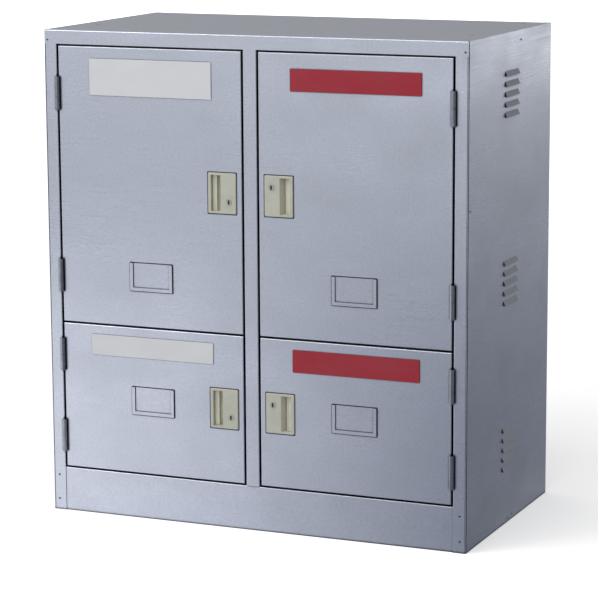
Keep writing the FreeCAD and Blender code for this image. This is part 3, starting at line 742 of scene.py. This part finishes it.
def moulded_plastic(look, front, well):
    """Moulded plastic with a fine spark texture and soft clouds, whose tint is painted lighter
    towards the back of the housing, down in the finger well, to stand in for light there."""
    finish, tree, shader = new_finish("moulded_handle_plastic")
    spark = grown_noise(tree, (1 / look.spark_pitch,) * 3, detail=3.0)
    cloud = grown_noise(tree, CLOUD_CELLS, detail=3.0)
    # Painted light: the tint lightens from the housing's front towards its back, down in the
    # finger well.
    tint = blend_colours(tree, depth_share(tree, front, well), look.colour, look.well_colour)
    gloss = spread(tree, spark, look.roughness - SPARK_GLOSS, look.roughness + SPARK_GLOSS)
    relief = emboss(tree, spark, look.spark_depth)
    lay_on(tree, shader, revalue(tree, tint, cloud, CLOUD_TONES), gloss, relief)
    return finish


def plated_lock(look, face):
    """Plated lock face with a brushed turn, and painted shade, near black, in the keyway below its
    rim.
    """
    finish, tree, shader = new_finish("plated_lock_metal")
    brush = grown_noise(tree, BRUSH_CELLS, detail=3.0)
    # Painted shade: near black deeper than the keyway's rim.
    shaded = depth_share(tree, *(face + step for step in KEYWAY_SHADE_DEPTHS))
    tint = blend_colours(tree, shaded, look.lock_colour, look.keyway_colour)
    gloss = spread(tree, brush, *BRUSH_GLOSS)
    lay_on(tree, shader, tint, gloss, emboss(tree, brush, BRUSH_RELIEF))
    shader.inputs["Metallic"].default_value = LOCK_METAL
    return finish


def mottled(name, colours, cells, gloss, relief=0.0, detail=4.0, roughness=0.5):
    """A finish whose tint, roughness and relief all follow one pattern, and its shader."""
    finish, tree, shader = new_finish(name)
    pattern = grown_noise(tree, cells, detail, roughness)
    tint = blend_colours(tree, spread(tree, pattern, 0, 1), *colours)
    raised = emboss(tree, pattern, relief) if relief else None
    lay_on(tree, shader, tint, spread(tree, pattern, *gloss), raised)
    return finish, shader


def zinc_plate(look):
    """Zinc-plated steel with a soft crystal mottle."""
    colours = look.zinc_colour, toned(look.zinc_colour, CRYSTAL_TONE)
    finish, shader = mottled(
        "zinc_plated_steel", colours, CRYSTAL_CELLS, CRYSTAL_GLOSS, CRYSTAL_RELIEF, roughness=0.7,
    )
    shader.inputs["Metallic"].default_value = 1.0
    return finish


def buffer_rubber(look):
    """Matt rubber with a dusty bloom."""
    colours = look.rubber_colour, toned(look.rubber_colour, dust=BLOOM_DUST)
    return mottled("buffer_rubber", colours, BLOOM_CELLS, BLOOM_GLOSS, BLOOM_RELIEF)[0]


def sign_plastic(name, colour):
    """Sheet plastic of the sign plates, faintly uneven and slightly faded in patches."""
    finish, tree, shader = new_finish(name)
    peel = grown_noise(tree, PEEL_CELLS)
    fade = grown_noise(tree, FADE_CELLS, detail=4.0)
    faded = toned(colour, FADE_TONE, FADE_DUST)
    tint = blend_colours(tree, spread(tree, fade, 0, 1), colour, faded)
    lay_on(tree, shader, tint, spread(tree, peel, *PEEL_GLOSS), emboss(tree, peel, PEEL_RELIEF))
    shader.inputs["Specular IOR Level"].default_value = LOW_SPECULAR
    return finish


def rivet_steel(name, colour, mean):
    """Steel of a blind rivet with drawing marks, of a given mean roughness."""
    colours = colour, toned(colour, MARK_TONE)
    gloss = mean - MARK_GLOSS, mean + MARK_GLOSS
    finish, shader = mottled(name, colours, MARK_CELLS, gloss, detail=3.0)
    shader.inputs["Metallic"].default_value = 1.0
    return finish


def seam_shadow_finish(look):
    """Near-black finish of the painted shadow beads, smeared and a little dusty."""
    colours = look.colour, toned(look.colour, dust=SMEAR_DUST)
    finish, shader = mottled("painted_seam_shadow", colours, SMEAR_CELLS, SMEAR_GLOSS, SMEAR_RELIEF)
    shader.inputs["Specular IOR Level"].default_value = LOW_SPECULAR
    return finish


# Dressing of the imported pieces

CREASE_ANGLE = math.radians(15)
FLAT_ANGLE = math.radians(1)
SOFT_ANGLE = math.radians(32)
SOFT_SEGMENTS = 2


def crease_shading():
    """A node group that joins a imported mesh's loose triangles and shades its curves smooth,
    with a crease wherever two faces meet at more than the crease angle."""
    name = "crease_shading"
    if name in bpy.data.node_groups:
        return bpy.data.node_groups[name]
    tree = bpy.data.node_groups.new(name, "GeometryNodeTree")
    tree.interface.new_socket("Mesh", in_out="INPUT", socket_type="NodeSocketGeometry")
    tree.interface.new_socket("Mesh", in_out="OUTPUT", socket_type="NodeSocketGeometry")
    start = add_node(tree, "NodeGroupInput")
    bare = add_node(tree, "GeometryNodeRemoveAttribute", {"Name": "custom_normal"})
    joined = add_node(tree, "GeometryNodeMergeByDistance", {"Distance": JOIN_DISTANCE})
    smooth = add_node(tree, "GeometryNodeSetShadeSmooth", {"Shade Smooth": True}, domain="FACE")
    bend = add_node(tree, "GeometryNodeInputMeshEdgeAngle")
    sharp = add_node(tree, "FunctionNodeCompare", operation="GREATER_THAN", data_type="FLOAT")
    sharp.inputs["B"].default_value = CREASE_ANGLE
    crease = add_node(tree, "GeometryNodeSetShadeSmooth", {"Shade Smooth": False}, domain="EDGE")
    end = add_node(tree, "NodeGroupOutput")
    chain = (start, bare, joined, smooth, crease, end)
    for before, after in zip(chain, chain[1:]):
        tree.links.new(before.outputs[0], after.inputs[0])
    tree.links.new(bend.outputs["Unsigned Angle"], sharp.inputs["A"])
    tree.links.new(sharp.outputs["Result"], crease.inputs["Selection"])
    return tree


def spring_wire(node, finish):
    """A joined copy of a packed latch spring."""
    mesh = NODES[node].data.copy()
    work = bmesh.new()
    work.from_mesh(mesh)
    bmesh.ops.remove_doubles(work, verts=work.verts, dist=JOIN_DISTANCE)
    work.to_mesh(mesh)
    work.free()
    mesh.materials.clear()
    mesh.materials.append(finish)
    wire = put(f"{node}_wire", mesh)
    shade(wire)
    return wire


def shade(piece):
    """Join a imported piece's faces and crease its shading at its edges."""
    shading = piece.modifiers.new("shading", "NODES")
    shading.node_group = crease_shading()
    flatten = piece.modifiers.new("flat_faces", "WEIGHTED_NORMAL")
    flatten.keep_sharp = True


def dress(node, finish, edge=0.0):
    """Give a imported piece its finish, joined faces and, where it is moulded, softened edges. The
    softening needs whole flat faces, which are divided again at the end."""
    piece = NODES[node]
    if edge:
        weld = piece.modifiers.new("weld", "WELD")
        weld.merge_threshold = JOIN_DISTANCE
        flats = piece.modifiers.new("flats", "DECIMATE")
        flats.decimate_type = "DISSOLVE"
        flats.angle_limit = FLAT_ANGLE
        soft = piece.modifiers.new("soft_edges", "BEVEL")
        soft.width = edge
        soft.segments = SOFT_SEGMENTS
        soft.limit_method = "ANGLE"
        soft.angle_limit = SOFT_ANGLE
    shade(piece)
    if edge:
        divide = piece.modifiers.new("divided_faces", "TRIANGULATE")
        divide.keep_custom_normals = True
    for holder in piece.material_slots:
        holder.material = finish


# Studio, in metres, with X and Y from the cabinet's middle. A ramp is where it starts and over
# what distance it rises.

FLOOR_LINES = 121
FAR_GLOW_RAMP = (1.2, 3.3)
EDGE_GLOW_RAMP = (7.5, 2.5)
FLOOR_CELLS = (1.4,) * 3
FLOOR_TONE = 0.985
FLOOR_ROUGHNESS = 0.9
FLOOR_SPECULAR = 0.2

# The grey cloth by its lines in X and Y as first, last and count, and by what shapes its cover
CLOTH_ACROSS = (-14, 20, 137)
CLOTH_DEEP = (-14, 9, 93)
CLOTH_LIFT = 0.0004
CLOTH_SLANT = 0.51
BACK_RAMP = (0.6, 2)
BACK_THINNING = 0.22
FRONT_RAMP = (-4.5, 2)
FRONT_RIGHT_RAMP = (0.5, 1.5)
BELT_MIDDLE = -5.1
BELT_REACH = 2.9
BELT_THINNING = 0.4
PATCH_RAMP = (0.9, 1.2)
PATCH_END_RAMP = (6, 1)
PATCH_REACH = 1.1
PATCH_THINNING = 0.2

BRIGHT_SIDE = (-0.33, -0.33, 0.88)
ROOM_RANGE = (-0.6, 0.8)
KEY_SOFTBOX = {"size": (1.6, 1.6), "place": (-2.0, -2.4, 2.4)}
TOP_SOFTBOX = {"size": (1.4, 1.4), "place": (0.0, -1.2, 3.2)}
SENSOR_MM = 36
WHITE = (1.0, 1.0, 1.0, 1.0)


def ramp(value, start, distance):
    """A share that rises straight from 0 to 1 over a distance from its start."""
    return np.clip((value - start) / distance, 0, 1)


# Operators, one for each group of like pieces and one for the stage

class CABINET_OT_sheet_metal(bpy.types.Operator):
    """Give every folded sheet its satin steel"""

    bl_idname = "cabinet.sheet_metal"
    bl_label = "Sheet Metal"

    def execute(self, context):
        finish = sheet_steel(context.scene.cabinet.steel)
        for node in SHEET_NODES:
            dress(node, finish)
        for door in DOORS:
            dress(f"door_panel_{door}", finish)
            dress(f"door_liner_{door}", finish)
            dress(f"card_holder_{door}", finish)
        return {"FINISHED"}


class CABINET_OT_hinges(bpy.types.Operator):
    """Give the hinge knuckles their turned steel"""

    bl_idname = "cabinet.hinges"
    bl_label = "Hinges"

    def execute(self, context):
        finish = turned_steel(context.scene.cabinet.steel)
        dress("hinge_frame_halves", finish)
        for door in DOORS:
            dress(f"hinge_door_halves_{door}", finish)
        return {"FINISHED"}


class CABINET_OT_handles(bpy.types.Operator):
    """Give the handle housings and paddles their moulded plastic"""

    bl_idname = "cabinet.handles"
    bl_label = "Handles"

    def execute(self, context):
        look = context.scene.cabinet.handle
        front, back = (corner.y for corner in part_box(f"handle_housing_{DOORS[0]}"))
        finish = moulded_plastic(look, front, back)
        for door in DOORS:
            dress(f"handle_housing_{door}", finish, look.edge)
            dress(f"paddle_{door}", finish, look.edge)
        return {"FINISHED"}


class CABINET_OT_latches(bpy.types.Operator):
    """Finish the locks, key guards, latch bolts, springs, shelf clips and door buffers"""

    bl_idname = "cabinet.latches"
    bl_label = "Locks and Latches"

    def execute(self, context):
        look = context.scene.cabinet.latch
        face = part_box(f"lock_cylinder_{DOORS[0]}")[0].y
        lock = plated_lock(look, face)
        zinc = zinc_plate(look)
        for door in DOORS:
            dress(f"lock_cylinder_{door}", lock)
            dress(f"latch_bolt_{door}", zinc)
        for joint in JOINTS.values():
            for squeezed in joint.get("deforming_nodes", ()):
                self.fit_spring(joint, squeezed, zinc)
        dress("shelf_clips", zinc)
        rubber = buffer_rubber(look)
        dress("door_buffers", rubber)
        for door in DOORS:
            self.fit_key_guard(door, look, face, rubber)
        return {"FINISHED"}

    def fit_key_guard(self, door, look, face, finish):
        """Put a black rubber guard round the key slot in a lock's face; it is partly a key guard
        and partly painted shade that widens the dark keyhole.
        """
        across, _, level = JOINTS[f"{door}_lock_turn"]["pos_m"]
        bead = frame_bead(*KEY_SLOT, PLATE_CORNER, look.guard_width, look.guard_rise)
        beads = stand_in_front(bead, across, face, level)
        guard = closed_solids(f"key_guard_and_shade_{door}", beads, hollow=True)
        guard.data.materials.append(finish)
        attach(guard, f"{door}_lock")

    def fit_spring(self, joint, squeezed, finish):
        """Swap a latch spring for a joined copy of its own that moves with the joint's parent."""
        node, fixed_end = squeezed["node"], squeezed["fixed_end_x_m"]
        wire = spring_wire(node, finish)
        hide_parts(node)
        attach(wire, joint["parent"])
        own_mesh(wire)


class CABINET_OT_sign_plates(bpy.types.Operator):
    """Put a bare sign plate on each door"""

    bl_idname = "cabinet.sign_plates"
    bl_label = "Sign Plates"

    def execute(self, context):
        look = context.scene.cabinet.sign
        white = sign_plastic("white_sign_plastic", look.white)
        red = sign_plastic("red_sign_plastic", look.red)
        for door, sign in SIGNS.items():
            low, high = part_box(f"door_panel_{door}")
            reach = sign["inset"] + sign["width"] / 2
            across = high.x - reach if door.endswith("left") else low.x + reach
            level = high.z - sign["drop"] - sign["height"] / 2
            rings = plate_rings(
                sign["width"], sign["height"], look.thickness, look.corner, look.edge,
            )
            solids = stand_in_front(rings, across, low.y, level)
            plate = closed_solids(f"sign_plate_{door}", solids)
            plate.data.materials.append(white if door in WHITE_SIGNS else red)
            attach(plate, f"{door}_door")
        return {"FINISHED"}


class CABINET_OT_rivets(bpy.types.Operator):
    """Put the small rivets on the posts, rail and sides"""

    bl_idname = "cabinet.rivets"
    bl_label = "Rivets"

    def execute(self, context):
        look = context.scene.cabinet.rivet
        low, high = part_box("front_post_right")
        front, reach = low.y, high.x + SHEET
        places, axes = [], []
        for side in (-1, 1):
            for inset, level in FRONT_RIVETS:
                places.append((side * (reach - inset), front, level))
                axes.append(OUT_OF_FRONT)
            for depth, level in SIDE_RIVETS:
                places.append((side * reach, front + depth, level))
                axes.append((side * BACK, UP, side * RIGHT))
        rings = rivet_rings(look.radius, look.rise)
        rivets = closed_solids("rivets", stand(rings, np.array(places), np.array(axes)))
        dome = rivet_steel("rivet_steel", look.colour, RIVET_ROUGHNESS)
        # The hollow's walls and floor take a near-black finish, as painted shade.
        pin = rivet_steel("rivet_hollow_shade", look.core_colour, RIVET_CORE_ROUGHNESS)
        for finish in (dome, pin):
            rivets.data.materials.append(finish)
        core = np.arange(len(rings) - 1) >= RIVET_DOME_RINGS - 1
        shaded = np.tile(np.repeat(core, rings.shape[1]), len(places))
        lids = np.repeat((False, True), len(places))
        finish_of = np.concatenate((shaded, lids)).astype(np.int32)
        rivets.data.polygons.foreach_set("material_index", finish_of)
        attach(rivets, "carcass")
        return {"FINISHED"}


class CABINET_OT_seam_shadow_lines(bpy.types.Operator):
    """Lay near-black beads of painted shadow round the handle plates and card holders and down the
    front corners
    """

    bl_idname = "cabinet.seam_lines"
    bl_label = "Seam Lines"

    def execute(self, context):
        look = context.scene.cabinet.seam
        # The beads are painted shadow: near-black lines where the plates and corners cast shade.
        finish = seam_shadow_finish(look)
        for door in DOORS:
            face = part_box(f"door_panel_{door}")[0].y
            beads = []
            for plate in ("handle_housing", "card_holder"):
                low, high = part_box(f"{plate}_{door}")
                size = high - low
                bead = frame_bead(size.x, size.z, PLATE_CORNER, look.width, look.rise)
                middle = (low + high) / 2
                beads.append(stand_in_front(bead, middle.x, face, middle.z))
            self.lay(f"seam_lines_{door}", np.concatenate(beads), finish, f"{door}_door", True)
        low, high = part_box("front_post_right")
        reach = high.x + SHEET
        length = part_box("side_panel_right")[1].z - low.z
        bead = straight_bead(length, look.corner_width, look.rise)
        middle = low.y + look.corner_width / 2, low.z + length / 2
        places = np.array([(side * reach, *middle) for side in (-1, 1)])
        axes = np.array([(side * BACK, UP, side * RIGHT) for side in (-1, 1)])
        self.lay("corner_shadow_lines", stand(bead, places, axes), finish, "carcass", False)
        return {"FINISHED"}

    def lay(self, name, beads, finish, body, hollow):
        """Make beads one piece of painted shadow that moves with a body."""
        line = closed_solids(name, beads, hollow)
        line.data.materials.append(finish)
        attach(line, body)


class CABINET_OT_studio(bpy.types.Operator):
    """Lay the pale floor and the mirrored cloth, and set the lamps, room light and camera"""

    bl_idname = "cabinet.studio"
    bl_label = "Studio"

    def execute(self, context):
        look = context.scene.cabinet.studio
        self.lay_floor(look)
        self.lay_cloth(look)
        self.light_room(context, look)
        self.hang_softbox("key_softbox", look.key_power, **KEY_SOFTBOX)
        self.hang_softbox("top_softbox", look.top_power, **TOP_SOFTBOX)
        self.set_camera(context, look)
        context.scene.view_settings.view_transform = "Standard"
        return {"FINISHED"}

    def lay_sheet(self, name, across, deep, level, share):
        """A level grid of the given x and y, with a share stored at each point."""
        x, y = np.meshgrid(across, deep)
        rows, columns = x.shape
        corners = np.stack((x, y, np.full(x.shape, level)), axis=-1).reshape(-1, 3)
        number = np.arange(rows * columns).reshape(rows, columns)
        cells = np.stack(
            (number[:-1, :-1], number[:-1, 1:], number[1:, 1:], number[1:, :-1]), axis=-1,
        ).reshape(-1, 4)
        mesh = bpy.data.meshes.new(name)
        mesh.from_pydata(corners.tolist(), [], cells.tolist())
        stored = mesh.attributes.new("share", "FLOAT", "POINT")
        stored.data.foreach_set("value", share(x, y).ravel())
        sheet = put(name, mesh)
        return sheet

    def lay_floor(self, look):
        """A pale floor whose seen glow rises with the distance r = (x^2 + y^2)^(1/2) along two
        ramps. Its lines lie at half its span times u^3, for u from -1 to 1."""
        def glow(x, y):
            away = np.hypot(x, y)
            far = (look.far_glow - look.near_glow) * ramp(away, *FAR_GLOW_RAMP)
            return look.near_glow + far + look.edge_glow * ramp(away, *EDGE_GLOW_RAMP)

        lines = look.floor_span / 2 * np.linspace(-1, 1, FLOOR_LINES) ** 3
        floor = self.lay_sheet("floor", lines, lines, CAD_BOX[0].z, glow)
        finish, tree, shader = new_finish("pale_floor")
        cloud = grown_noise(tree, FLOOR_CELLS, detail=4.0)
        worn = toned(look.floor_colour, FLOOR_TONE)
        tint = blend_colours(tree, spread(tree, cloud, 0, 1), look.floor_colour, worn)
        tree.links.new(tint, shader.inputs["Base Color"])
        tree.links.new(self.seen_glow(tree), shader.inputs["Emission Strength"])
        shader.inputs["Emission Color"].default_value = WHITE
        shader.inputs["Roughness"].default_value = FLOOR_ROUGHNESS
        shader.inputs["Specular IOR Level"].default_value = FLOOR_SPECULAR
        floor.data.materials.append(finish)

    def lay_cloth(self, look):
        """A grey cloth that only mirrors show. It fades in to the right of a line that runs out to
        the front left, thins to the back, and ends at the front except on the right. A belt
        crosses the front by exp(-((y - middle) / reach)^4), thinner where the cloth is. A patch
        beside the cabinet is thinner by exp(-(y / reach)^2)."""
        def cover(x, y):
            beyond = x - look.cloth_place - CLOTH_SLANT * np.minimum(y, 0)
            inside = np.clip(0.5 + beyond / look.cloth_fade, 0, 1)
            thinner = 1 - BACK_THINNING * ramp(y, *BACK_RAMP)
            front = np.maximum(ramp(y, *FRONT_RAMP), ramp(x, *FRONT_RIGHT_RAMP))
            belt = np.exp(-((y - BELT_MIDDLE) / BELT_REACH) ** 4) * (1 - BELT_THINNING * inside)
            beside = ramp(x, *PATCH_RAMP) * (1 - ramp(x, *PATCH_END_RAMP))
            patch = PATCH_THINNING * beside * np.exp(-(y / PATCH_REACH) ** 2)
            return np.maximum(inside * thinner * front, belt) * (1 - patch)

        across, deep = np.linspace(*CLOTH_ACROSS), np.linspace(*CLOTH_DEEP)
        cloth = self.lay_sheet("grey_cloth", across, deep, CAD_BOX[0].z + CLOTH_LIFT, cover)
        cloth.visible_camera = False
        cloth.visible_diffuse = False
        cloth.visible_shadow = False
        finish, tree, shader = new_finish("grey_cloth")
        share = add_node(tree, "ShaderNodeAttribute", attribute_name="share")
        tree.links.new(share.outputs["Fac"], shader.inputs["Alpha"])
        shader.inputs["Base Color"].default_value = (*look.cloth_colour, 1)
        shader.inputs["Roughness"].default_value = 1.0
        cloth.data.materials.append(finish)

    def seen_glow(self, tree):
        """The floor's stored glow, for rays that see or mirror it."""
        share = add_node(tree, "ShaderNodeAttribute", attribute_name="share")
        ray = add_node(tree, "ShaderNodeLightPath").outputs
        mirrored = reckon(tree, "ADD", ray["Is Glossy Ray"], ray["Is Transmission Ray"], True)
        seen = reckon(tree, "ADD", ray["Is Camera Ray"], mirrored, True)
        return reckon(tree, "MULTIPLY", share.outputs["Fac"], seen)

    def light_room(self, context, look):
        """White light from all round that fades from above and the front left to below and the
        back right."""
        world = bpy.data.worlds.new("studio")
        world.use_nodes = True
        tree = world.node_tree
        sky = tree.nodes["Background"]
        sky.inputs["Color"].default_value = WHITE
        place = add_node(tree, "ShaderNodeTexCoord")
        toward = add_node(tree, "ShaderNodeVectorMath", operation="DOT_PRODUCT")
        toward.inputs[1].default_value = BRIGHT_SIDE
        tree.links.new(place.outputs["Generated"], toward.inputs[0])
        lit = toward.outputs["Value"]
        fade = spread(tree, lit, look.room_dim, look.room_bright, *ROOM_RANGE)
        tree.links.new(fade, sky.inputs["Strength"])
        context.scene.world = world

    def hang_softbox(self, name, power, size, place):
        """A large soft lamp that faces the cabinet's middle."""
        lamp = bpy.data.lights.new(name, "AREA")
        lamp.energy = power
        lamp.shape = "RECTANGLE"
        lamp.size, lamp.size_y = size
        box = put(name, lamp)
        middle = (CAD_BOX[0] + CAD_BOX[1]) / 2
        box.location = place
        box.rotation_euler = (middle - box.location).to_track_quat("-Z", "Y").to_euler()

    def set_camera(self, context, look):
        """A long lens at the photograph's viewing angle."""
        lens = bpy.data.cameras.new("camera")
        lens.lens = look.lens
        lens.sensor_width = SENSOR_MM
        camera = put("camera", lens)
        aim = Euler((math.pi / 2 + look.pitch, 0, look.yaw)).to_matrix()
        lean = Matrix.Rotation(-look.roll, 3, "Z")
        camera.rotation_euler = (aim @ lean).to_euler()
        camera.location = look.place
        context.scene.camera = camera


STEPS = (
    CABINET_OT_sheet_metal, CABINET_OT_hinges, CABINET_OT_handles, CABINET_OT_latches,
    CABINET_OT_sign_plates, CABINET_OT_rivets, CABINET_OT_seam_shadow_lines, CABINET_OT_studio,
)


class CABINET_PT_sidebar(bpy.types.Panel):
    """The cabinet's looks and the operators that make them"""

    bl_idname = "CABINET_PT_sidebar"
    bl_label = "Medicine Cabinet"
    bl_space_type = "VIEW_3D"
    bl_region_type = "UI"
    bl_category = "Cabinet"

    def draw(self, context):
        for step in STEPS:
            self.layout.operator(step.bl_idname)
        for group in context.scene.cabinet.bl_rna.properties:
            if group.type == "POINTER" and group.identifier != "rna_type":
                box = self.layout.box()
                box.label(text=group.identifier.capitalize())
                look = getattr(context.scene.cabinet, group.identifier)
                for key in look.__annotations__:
                    box.prop(look, key)


CLASSES = (
    SteelLook, HandleLook, LatchLook, SignLook, RivetLook, SeamLook, StudioLook, CabinetLook,
    *STEPS,
    CABINET_PT_sidebar,
)


def register():
    for each in CLASSES:
        bpy.utils.register_class(each)
    bpy.types.Scene.cabinet = PointerProperty(type=CabinetLook)


def unregister():
    del bpy.types.Scene.cabinet
    for each in reversed(CLASSES):
        bpy.utils.unregister_class(each)


def main():
    register()
    bpy.ops.cabinet.sheet_metal()
    bpy.ops.cabinet.hinges()
    bpy.ops.cabinet.handles()
    bpy.ops.cabinet.latches()
    bpy.ops.cabinet.sign_plates()
    bpy.ops.cabinet.rivets()
    bpy.ops.cabinet.seam_lines()
    bpy.ops.cabinet.studio()


if __name__ == "__main__":
    main()
